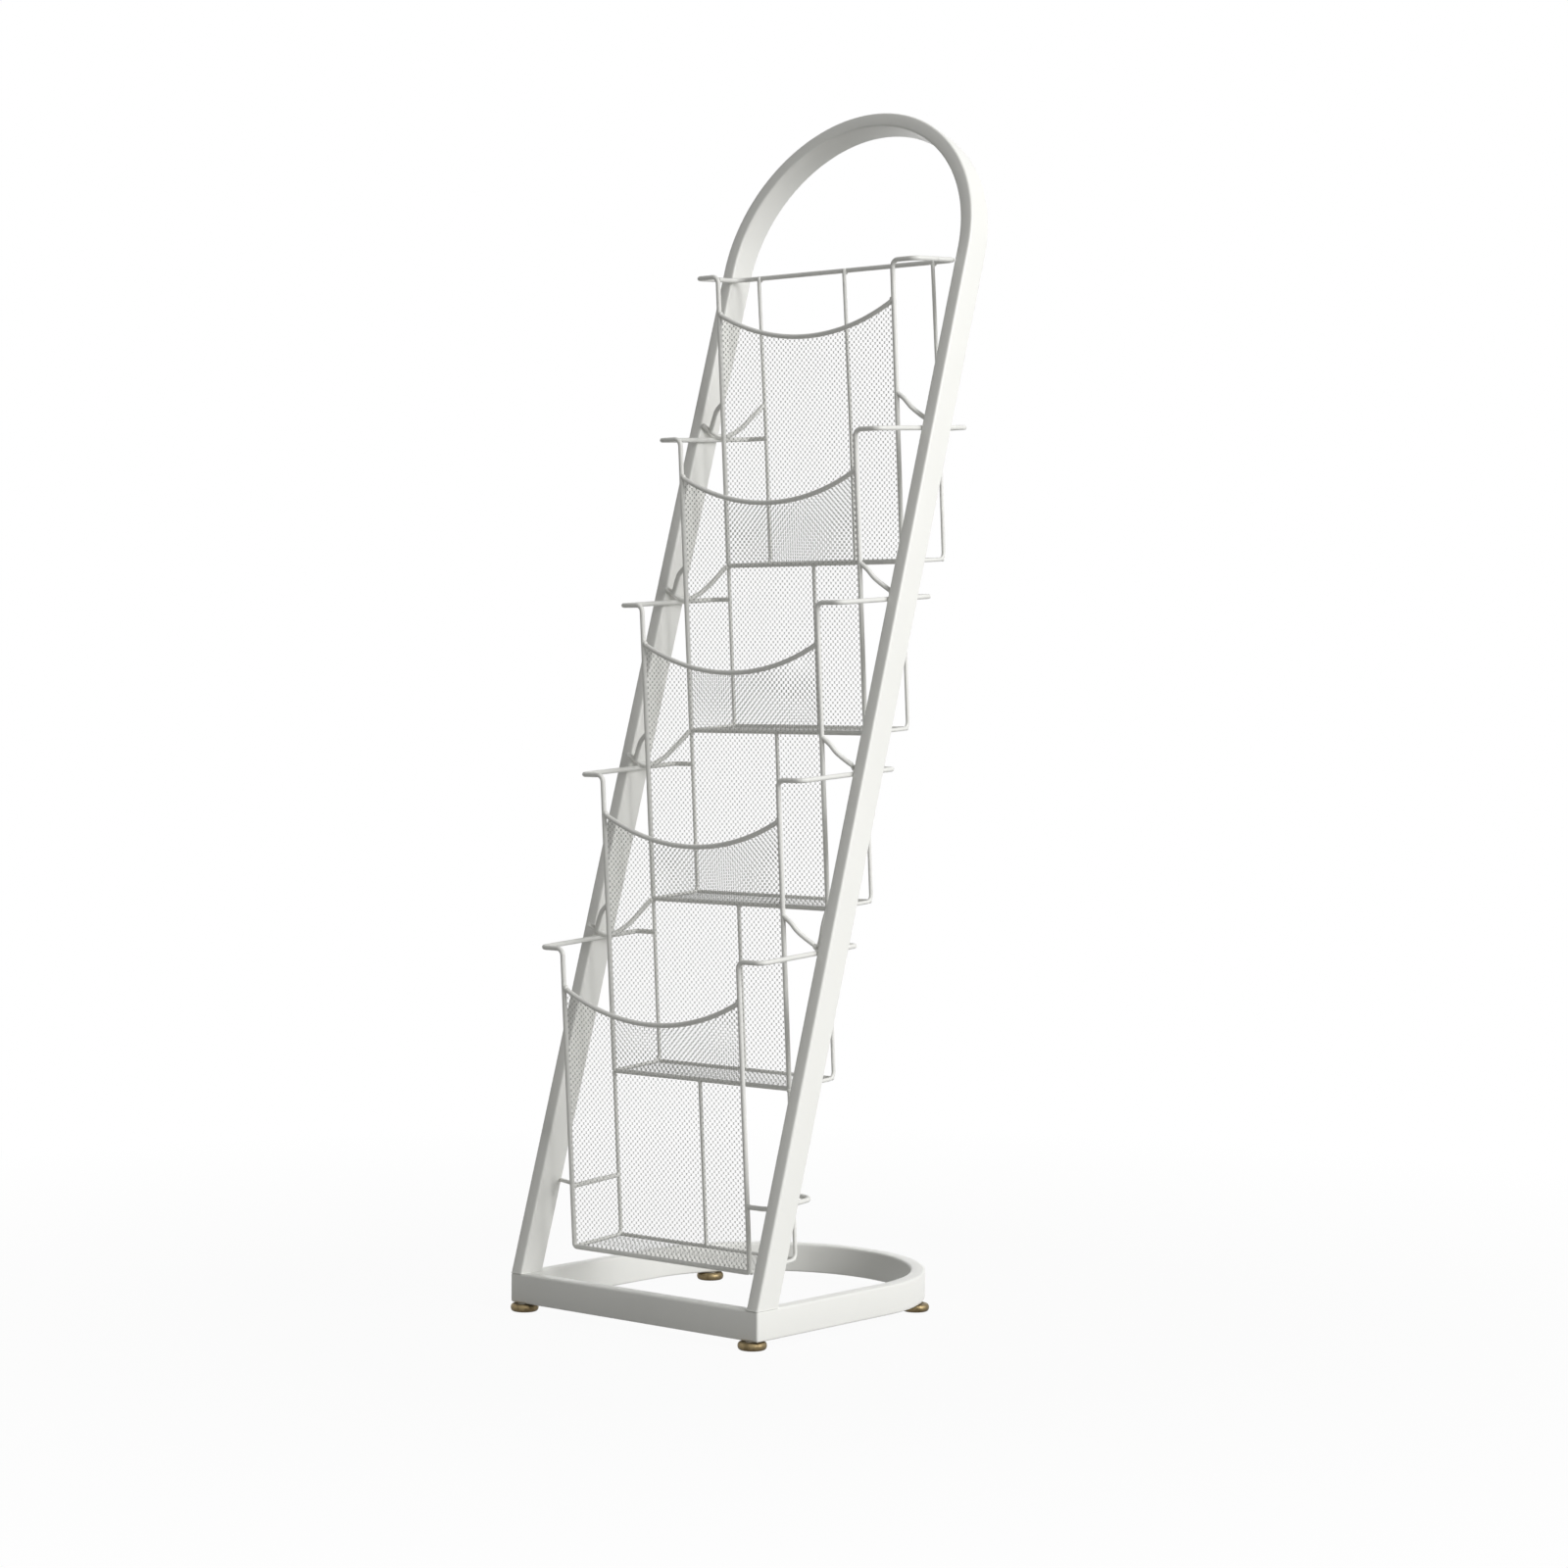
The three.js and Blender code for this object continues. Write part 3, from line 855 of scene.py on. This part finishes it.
def front_wire_path(sizes, place, number):
    """Arm, ear, front upright, bottom, and the same again on the other side."""
    side, out = sizes.side, sizes.side + sizes.arm_out
    half = []
    if number == 1:
        half.append((out, sizes.depth / 2 + 0.0006, 0, 0))
    else:
        back = 2 * sizes.depth + sizes.arm_past
        half.append((side + sizes.arm_short, back, 0, 0))
        half.append((out, back, 0, sizes.sharp_bend))
    half.append((out, 0, 0, sizes.ear_bend))
    half.append((side, 0, 0, sizes.tight_bend))
    half.append((side, 0, sizes.height, sizes.sharp_bend))
    corners = [(place(-x, v, w), bend) for x, v, w, bend in half]
    corners += [(place(x, v, w), bend) for x, v, w, bend in reversed(half)]
    return rounded_path(corners)


def scoop_path(sizes, place):
    """The scooped wire between the two front uprights."""
    end = sizes.side - 0.0012
    steps = 40
    xs = [end * (2 * i / steps - 1) for i in range(steps + 1)]
    return [place(x, 0, scoop_drop(sizes, x)) for x in xs]


def rear_rim_path(sizes, place):
    """The wire that carries the top pocket's rim round its back."""
    out = sizes.side + sizes.arm_out
    start = sizes.depth / 2 - 0.0004
    return rounded_path(
        [
            (place(-out, start, 0), 0),
            (place(-out, sizes.depth, 0), sizes.bend),
            (place(out, sizes.depth, 0), sizes.bend),
            (place(out, start, 0), 0),
        ]
    )


def rear_top(sizes, number):
    """Where a pocket's rear wires start, below its rim."""
    if number == 1:
        return sizes.wire * 0.6
    return sizes.height - sizes.rise + sizes.wire * 0.6


def rear_post(sizes, place, x, number):
    """The top of a rear upright; the top pocket's stands in front of its rim and eases back."""
    if number > 1:
        return [(place(x, sizes.depth, rear_top(sizes, number)), 0)]
    ahead = sizes.depth - sizes.wire
    return [(place(x, ahead, -0.0012), 0), (place(x, sizes.depth, 0.15), 0.3)]


class RACK_OT_wires(bpy.types.Operator):
    """Bends the wires that outline each pocket"""

    bl_idname = "rack.wires"
    bl_label = "Pocket wires"

    def execute(self, context):
        sizes = context.scene.rack_pockets
        for number in range(1, POCKETS + 1):
            place = pocket_place(sizes, number)
            tag = "pocket_%d_" % number
            self.add(tag, "front_wire", front_wire_path(sizes, place, number), sizes.wire)
            self.add(tag, "scoop_wire", scoop_path(sizes, place), sizes.wire)
            if number == 1:
                self.add(tag, "rear_rim", rear_rim_path(sizes, place), sizes.wire)
            for word, side in SIDES:
                x = side * sizes.side
                path = rounded_path(
                    [
                        *rear_post(sizes, place, x, number),
                        (place(x, sizes.depth, sizes.height), sizes.tight_bend),
                        (place(x, sizes.wire * 0.6, sizes.height), 0),
                    ]
                )
                self.add(tag, "rear_" + word, path, sizes.upright)
            self.add_tee(sizes, place, tag, number)
        return {"FINISHED"}

    def add(self, tag, name, path, radius):
        """One wire, in place of the solid of the same name."""
        add_piece(tag + name + "_bent", [wire_along(path, radius)], shaded_wire_coat(), nodes=(tag + name,))

    def add_tee(self, sizes, place, tag, number):
        """The middle rear upright and the wire along the rear of the bottom."""
        end = sizes.side - sizes.upright * 0.6
        foot = (place(0, sizes.depth, sizes.height), 0)
        post = rounded_path([*rear_post(sizes, place, 0, number), foot])
        bar = [place(-end, sizes.depth, sizes.height), place(end, sizes.depth, sizes.height)]
        parts = [wire_along(post, sizes.upright), wire_along(bar, sizes.upright)]
        add_piece(tag + "rear_tee_bent", parts, shaded_wire_coat(), nodes=(tag + "rear_tee",))


def hanger_parts(sizes, place, side):
    """A hanger: a stay from the front upright and a sling from the rear one, joined at the leg."""
    deep = sizes.arm_out
    height = sizes.height - sizes.rise

    def spot(out, v, drop):
        return place(side * (sizes.side + out), v, height + drop)

    stay = [
        spot(0.0012, 0.0002, -0.0004),
        spot(0.3 * deep, 0.0009, 0.0057),
        spot(0.5 * deep, 0.0029, 0.0135),
        spot(0.7 * deep, 0.0066, 0.0201),
        spot(0.93 * deep, 0.0110, 0.0267),
    ]
    sling = [
        spot(deep, 0.0017, 0.0205),
        spot(0.97 * deep, 0.0077, 0.0244),
        spot(0.9 * deep, 0.0147, 0.0291),
        spot(0.82 * deep, 0.0197, 0.0321),
        spot(0.68 * deep, 0.0271, 0.0330),
        spot(0.54 * deep, 0.0353, 0.0296),
        spot(0.4 * deep, 0.0431, 0.0241),
        spot(0.2 * deep, 0.0546, 0.0128),
        spot(0.04 * deep, sizes.depth - 0.0022, 0.0010),
    ]
    if side > 0:
        # On the right the sling's front end is buried in the weld of the stay.
        sling = sling[2:]
    return [wire_along(smooth_path(stay), sizes.wire), wire_along(smooth_path(sling), sizes.wire)]


class RACK_OT_hangers(bpy.types.Operator):
    """Bends the side hangers, and the lowest pocket's side loop, rail and tie"""

    bl_idname = "rack.hangers"
    bl_label = "Hangers"

    def execute(self, context):
        sizes = context.scene.rack_pockets
        for number in range(1, POCKETS):
            place = pocket_place(sizes, number)
            for word, side in SIDES:
                node = "pocket_%d_hanger_%s" % (number, word)
                add_piece(node + "_bent", hanger_parts(sizes, place, side), shaded_wire_coat(), nodes=(node,))
        place = pocket_place(sizes, POCKETS)
        self.add("loop_right", self.loop_path(sizes, place), sizes.wire)
        down = sizes.loop_height + sizes.rail_drop
        rail = [place(-sizes.side, v, down) for v in (0.0012, sizes.depth - 0.0012)]
        self.add("rail_left", rail, sizes.wire)
        far = sizes.side + sizes.arm_out + sizes.upright / 2
        tie = [
            place(-sizes.side - 0.0012, 0.0006, sizes.loop_height),
            place(-far, sizes.tie_back, sizes.loop_height + sizes.tie_drop),
        ]
        self.add("tie_left", tie, sizes.upright)
        return {"FINISHED"}

    def add(self, name, path, radius):
        """One side wire of the lowest pocket, in place of the solid of the same name."""
        node = "pocket_%d_%s" % (POCKETS, name)
        add_piece(node + "_bent", [wire_along(path, radius)], shaded_wire_coat(), nodes=(node,))

    def loop_path(self, sizes, place):
        """The level loop beside the lowest pocket's right leg."""
        inner, out = sizes.side + 0.0012, sizes.side + sizes.arm_out
        level = sizes.loop_height
        return rounded_path(
            [
                (place(inner, 0, level), 0),
                (place(out, 0, level), sizes.bend),
                (place(out, sizes.depth - sizes.loop_skew, level), sizes.bend),
                (place(inner, sizes.depth, level), 0),
            ]
        )


def strand_points(net, row, low, high):
    """A strand that steps between two rows of joints, from one x to another: x, offset, half height."""
    pitch = net.long_way / 2
    reach = net.short_way / 4 - net.strand
    points = []
    for n in range(math.floor(low / pitch) - 1, math.ceil(high / pitch) + 2):
        offset = reach if (n + row) % 2 else -reach
        points.append(Vector((n * pitch - net.bond, offset, net.waist)))
        points.append(Vector((n * pitch, offset, net.strand)))
        points.append(Vector((n * pitch + net.bond, offset, net.waist)))
    kept = []
    for start, end in zip(points, points[1:]):
        if end.x <= low or start.x >= high:
            continue
        if start.x < low:
            kept.append(start.lerp(end, (low - start.x) / (end.x - start.x)))
        elif not kept:
            kept.append(start)
        if end.x > high:
            kept.append(start.lerp(end, (high - start.x) / (end.x - start.x)))
        else:
            kept.append(end)
    return kept


def net_part(net, rows, tilt, at):
    """Expanded metal: stepped strands joined row to row. Rows give an offset and their x spans."""
    verts = []
    faces = []
    thick, slope = net.thickness, math.tan(tilt)
    corners = ((-1, -thick), (1, -thick), (1, thick), (-1, thick))
    for row, centre, spans in rows:
        for low, far in spans:
            if far - low < net.bond * 2:
                continue
            loops = []
            for x, offset, high in strand_points(net, row, low, far):
                first = len(verts)
                middle = centre + offset
                for edge, face in corners:
                    across = edge * high
                    verts.append(at(x, middle + across, face + across * slope))
                loops.append(range(first, first + 4))
            for before, after in zip(loops, loops[1:]):
                bridge(faces, before, after)
            faces.append(tuple(reversed(loops[0])))
            faces.append(tuple(loops[-1]))
    return verts, faces


class RACK_OT_nets(bpy.types.Operator):
    """Cuts and stretches the expanded metal of the pockets' fronts and bottoms"""

    bl_idname = "rack.nets"
    bl_label = "Expanded metal"

    def execute(self, context):
        sizes = context.scene.rack_pockets
        net = context.scene.rack_net
        for number in range(1, POCKETS + 1):
            place = pocket_place(sizes, number)
            tag = "pocket_%d_" % number
            rows = self.front_rows(sizes, net)
            front = net_part(net, rows, net.tilt, lambda x, w, v: place(x, v, w))
            add_piece(tag + "front_net", [front], shaded_net_coat(), nodes=(tag + "front_mesh",))
            level = sizes.height
            rows = self.bottom_rows(sizes, net)
            bottom = net_part(net, rows, 0, lambda x, v, w: place(x, v, level - w))
            add_piece(tag + "bottom_net", [bottom], shaded_net_coat(), nodes=(tag + "bottom_mesh",))
        return {"FINISHED"}

    def front_rows(self, sizes, net):
        """Rows from the scoop down to the bottom wire, split where the scoop cuts them."""
        edge = sizes.side - sizes.wire * 0.4
        radius = scoop_radius(sizes) + sizes.wire * 0.4
        centre = sizes.scoop_drop + sizes.scoop_sag - scoop_radius(sizes)
        step = net.short_way / 2
        rows = []
        row = 0
        w = sizes.height - sizes.wire * 0.4 - net.short_way / 4
        while w > sizes.scoop_drop:
            reach = radius**2 - (w - centre) ** 2
            cut = math.sqrt(reach) if reach > 0 else 0
            if cut == 0:
                rows.append((row, w, [(-edge, edge)]))
            elif cut < edge:
                rows.append((row, w, [(-edge, -cut), (cut, edge)]))
            row += 1
            w -= step
        return rows

    def bottom_rows(self, sizes, net):
        """Rows from the front bottom wire to the rear one."""
        edge = sizes.side - sizes.upright * 0.4
        first = sizes.wire * 0.4 + net.short_way / 4
        last = sizes.depth - sizes.upright * 0.4
        step = net.short_way / 2
        count = int((last - first) / step) + 1
        return [(row, first + row * step, [(-edge, edge)]) for row in range(count)]


class RACK_OT_welds(bpy.types.Operator):
    """Adds the small welds where wires meet each other and the legs"""

    bl_idname = "rack.welds"
    bl_label = "Welds"

    def execute(self, context):
        sizes = context.scene.rack_pockets
        for number in range(1, POCKETS + 1):
            place = pocket_place(sizes, number)
            parts = [nugget(*spot) for spot in self.spots(sizes, place, number)]
            add_piece("pocket_%d_welds" % number, parts, shaded_wire_coat())
        return {"FINISHED"}

    def spots(self, sizes, place, number):
        """Centre and half-axes of each weld of a pocket."""
        small = sizes.upright
        right = Vector((1, 0, 0))
        back = (place(0, 1, 0) - place(0, 0, 0)).normalized()
        down = (place(0, 0, 1) - place(0, 0, 0)).normalized()
        bottom = sizes.height
        top = rear_top(sizes, number)
        for side in (-1, 1):
            x = side * sizes.side
            yield place(x - side * 0.0022, 0, scoop_drop(sizes, sizes.side)), right * 0.0026, down * 0.0032, back * 0.0027
            yield place(x, 0.0026, bottom), back * 0.0026, right * 0.0027, down * 0.0026
            yield place(x - side * 0.0020, sizes.depth, bottom), right * 0.0022, back * 0.0023, down * 0.0023
            yield place(x, sizes.depth, top + 0.0006), right * 0.0026, back * 0.0030, down * 0.0022
            if number > 1:
                yield place(x + side * 0.0026, 2 * sizes.depth + sizes.arm_past - small, 0), right * 0.0024, back * 0.0022, down * 0.0018
        yield place(0, sizes.depth, top + 0.0006), right * 0.0026, back * 0.0028, down * 0.0022
        yield place(0, sizes.depth, bottom - 0.0020), right * 0.0026, back * 0.0024, down * 0.0022


# Floor, lamps and camera.

CAMERA_PLACE = (2.26745, -2.65346, 0.62338)
CAMERA_DOWN = math.radians(1.4416)
CAMERA_TURN = math.radians(40.1415)
CAMERA_ROLL = math.radians(0.498)
CAMERA_LENS = 78.328
KEY_PLACE = (6.514, 0.387, 3.643)
KEY_SIZE = 5
KEY_POWER = 490
FILL_PLACE = (-3.63, 4.24, 0.9)
FILL_SIZE = 2.5
FILL_POWER = 200
LAMP_AIM = (0, 0, 0.6)
ROOM_BRIGHT_SIDE = (0.567, 0, 0.824)
ROOM_DIM = 0.053
ROOM_BRIGHT = 0.327
FLOOR_SIZE = 14
FLOOR_GLOW = 0.95
FLOOR_FADE = (0.5, 1.5)


def seen_directly(tree):
    """One where the camera, a reflection or clear glass looks, and nothing elsewhere."""
    path = node_at(tree, "ShaderNodeLightPath")
    total = path.outputs["Is Camera Ray"]
    for label in ("Is Glossy Ray", "Is Transmission Ray"):
        join = node_at(tree, "ShaderNodeMath", operation="MAXIMUM")
        tree.links.new(total, join.inputs[0])
        tree.links.new(path.outputs[label], join.inputs[1])
        total = join.outputs["Value"]
    return total


def floor_material():
    """A pale floor that reads as white from the camera but keeps a soft shadow."""
    material = bpy.data.materials.new("studio_floor")
    material.use_nodes = True
    tree = material.node_tree
    shader = tree.nodes["Principled BSDF"]
    shader.inputs["Base Color"].default_value = (0.36, 0.36, 0.35, 1)
    shader.inputs["Roughness"].default_value = 0.9
    glow = node_at(tree, "ShaderNodeEmission")
    away = node_at(tree, "ShaderNodeVectorMath", operation="LENGTH")
    tree.links.new(node_at(tree, "ShaderNodeTexCoord").outputs["Object"], away.inputs[0])
    share = node_at(tree, "ShaderNodeMath", operation="MULTIPLY")
    tree.links.new(range_node(tree, away.outputs["Value"], *FLOOR_FADE, FLOOR_GLOW, 1), share.inputs[1])
    mix = node_at(tree, "ShaderNodeMixShader")
    tree.links.new(seen_directly(tree), share.inputs[0])
    tree.links.new(share.outputs["Value"], mix.inputs["Fac"])
    tree.links.new(shader.outputs["BSDF"], mix.inputs[1])
    tree.links.new(glow.outputs["Emission"], mix.inputs[2])
    tree.links.new(mix.outputs["Shader"], tree.nodes["Material Output"].inputs["Surface"])
    return material


def studio_world():
    """A white backdrop that lights the rack at a plain level."""
    world = bpy.data.worlds.new("studio")
    world.use_nodes = True
    tree = world.node_tree
    room = tree.nodes["Background"]
    room.inputs["Color"].default_value = (1, 1, 0.97, 1)
    direction = node_at(tree, "ShaderNodeTexCoord").outputs["Generated"]
    toward = node_at(tree, "ShaderNodeVectorMath", operation="DOT_PRODUCT")
    toward.inputs[1].default_value = Vector(ROOM_BRIGHT_SIDE).normalized()
    tree.links.new(direction, toward.inputs[0])
    level = range_node(tree, toward.outputs["Value"], -1, 1, ROOM_DIM, ROOM_BRIGHT)
    tree.links.new(level, room.inputs["Strength"])
    backdrop = node_at(tree, "ShaderNodeBackground")
    backdrop.inputs["Color"].default_value = (1, 1, 1, 1)
    mix = node_at(tree, "ShaderNodeMixShader")
    tree.links.new(seen_directly(tree), mix.inputs["Fac"])
    tree.links.new(room.outputs["Background"], mix.inputs[1])
    tree.links.new(backdrop.outputs["Background"], mix.inputs[2])
    tree.links.new(mix.outputs["Shader"], tree.nodes["World Output"].inputs["Surface"])
    bpy.context.scene.world = world


def hang_lamp(name, place, size, power):
    """A square lamp that faces the middle of the rack."""
    lamp = bpy.data.lights.new(name, "AREA")
    lamp.size = size
    lamp.energy = power
    holder = bpy.data.objects.new(name, lamp)
    holder.location = place
    holder.rotation_euler = (Vector(LAMP_AIM) - holder.location).to_track_quat("-Z", "Y").to_euler()
    bpy.context.scene.collection.objects.link(holder)
    return holder


class RACK_OT_stage(bpy.types.Operator):
    """Lays the floor, hangs the lamps and sets up the camera"""

    bl_idname = "rack.stage"
    bl_label = "Stage"

    def execute(self, context):
        scene = context.scene
        half = FLOOR_SIZE / 2
        mesh = bpy.data.meshes.new("floor")
        corners = [(-half, -half, 0), (half, -half, 0), (half, half, 0), (-half, half, 0)]
        mesh.from_pydata(corners, [], [(0, 1, 2, 3)])
        mesh.materials.append(floor_material())
        floor = bpy.data.objects.new("floor", mesh)
        scene.collection.objects.link(floor)
        floor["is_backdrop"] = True
        studio_world()
        hang_lamp("key", KEY_PLACE, KEY_SIZE, KEY_POWER)
        fill = hang_lamp("fill", FILL_PLACE, FILL_SIZE, FILL_POWER)
        fill.visible_glossy = False
        camera_data = bpy.data.cameras.new("camera")
        camera_data.lens = CAMERA_LENS
        camera_data.sensor_width = 36
        camera = bpy.data.objects.new("camera", camera_data)
        camera.location = CAMERA_PLACE
        heading = Matrix.Rotation(CAMERA_TURN, 3, "Z") @ Matrix.Rotation(math.pi / 2 - CAMERA_DOWN, 3, "X")
        camera.rotation_euler = (heading @ Matrix.Rotation(CAMERA_ROLL, 3, "Z")).to_euler()
        scene.collection.objects.link(camera)
        scene.camera = camera
        scene.view_settings.view_transform = "Standard"
        return {"FINISHED"}


OPERATORS = (
    RACK_OT_arch,
    RACK_OT_base,
    RACK_OT_feet,
    RACK_OT_wires,
    RACK_OT_hangers,
    RACK_OT_nets,
    RACK_OT_welds,
    RACK_OT_stage,
)


class VIEW3D_PT_rack(bpy.types.Panel):
    """Lists the rack's sizes, finishes and building steps"""

    bl_idname = "VIEW3D_PT_rack"
    bl_label = "Magazine rack"
    bl_space_type = "VIEW_3D"
    bl_region_type = "UI"
    bl_category = "Rack"

    def draw(self, context):
        for group in (*settings(),):
            box = self.layout.box()
            for name in group.__annotations__:
                box.prop(group, name)
        for operator in OPERATORS:
            self.layout.operator(operator.bl_idname)


GROUPS = (
    ("rack_frame", RackFrameSizes),
    ("rack_pockets", RackPocketSizes),
    ("rack_net", RackNetSizes),
    ("rack_finish", RackFinish),
)


def register():
    """Registers the groups, operators and panel."""
    for name, group in GROUPS:
        bpy.utils.register_class(group)
        setattr(bpy.types.Scene, name, bpy.props.PointerProperty(type=group))
    for operator in OPERATORS:
        bpy.utils.register_class(operator)
    bpy.utils.register_class(VIEW3D_PT_rack)


def unregister():
    """Takes everything out again."""
    bpy.utils.unregister_class(VIEW3D_PT_rack)
    for operator in reversed(OPERATORS):
        bpy.utils.unregister_class(operator)
    for name, group in reversed(GROUPS):
        delattr(bpy.types.Scene, name)
        bpy.utils.unregister_class(group)


def main():
    """Builds the rack."""
    register()
    bpy.ops.rack.arch()
    bpy.ops.rack.base()
    bpy.ops.rack.feet()
    bpy.ops.rack.wires()
    bpy.ops.rack.hangers()
    bpy.ops.rack.nets()
    bpy.ops.rack.welds()
    bpy.ops.rack.stage()
    boxes = {"cad": CAD_BOX, "visual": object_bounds()}
    plain = {name: [list(corner) for corner in box] for name, box in boxes.items()}


if __name__ == "__main__":
    main()
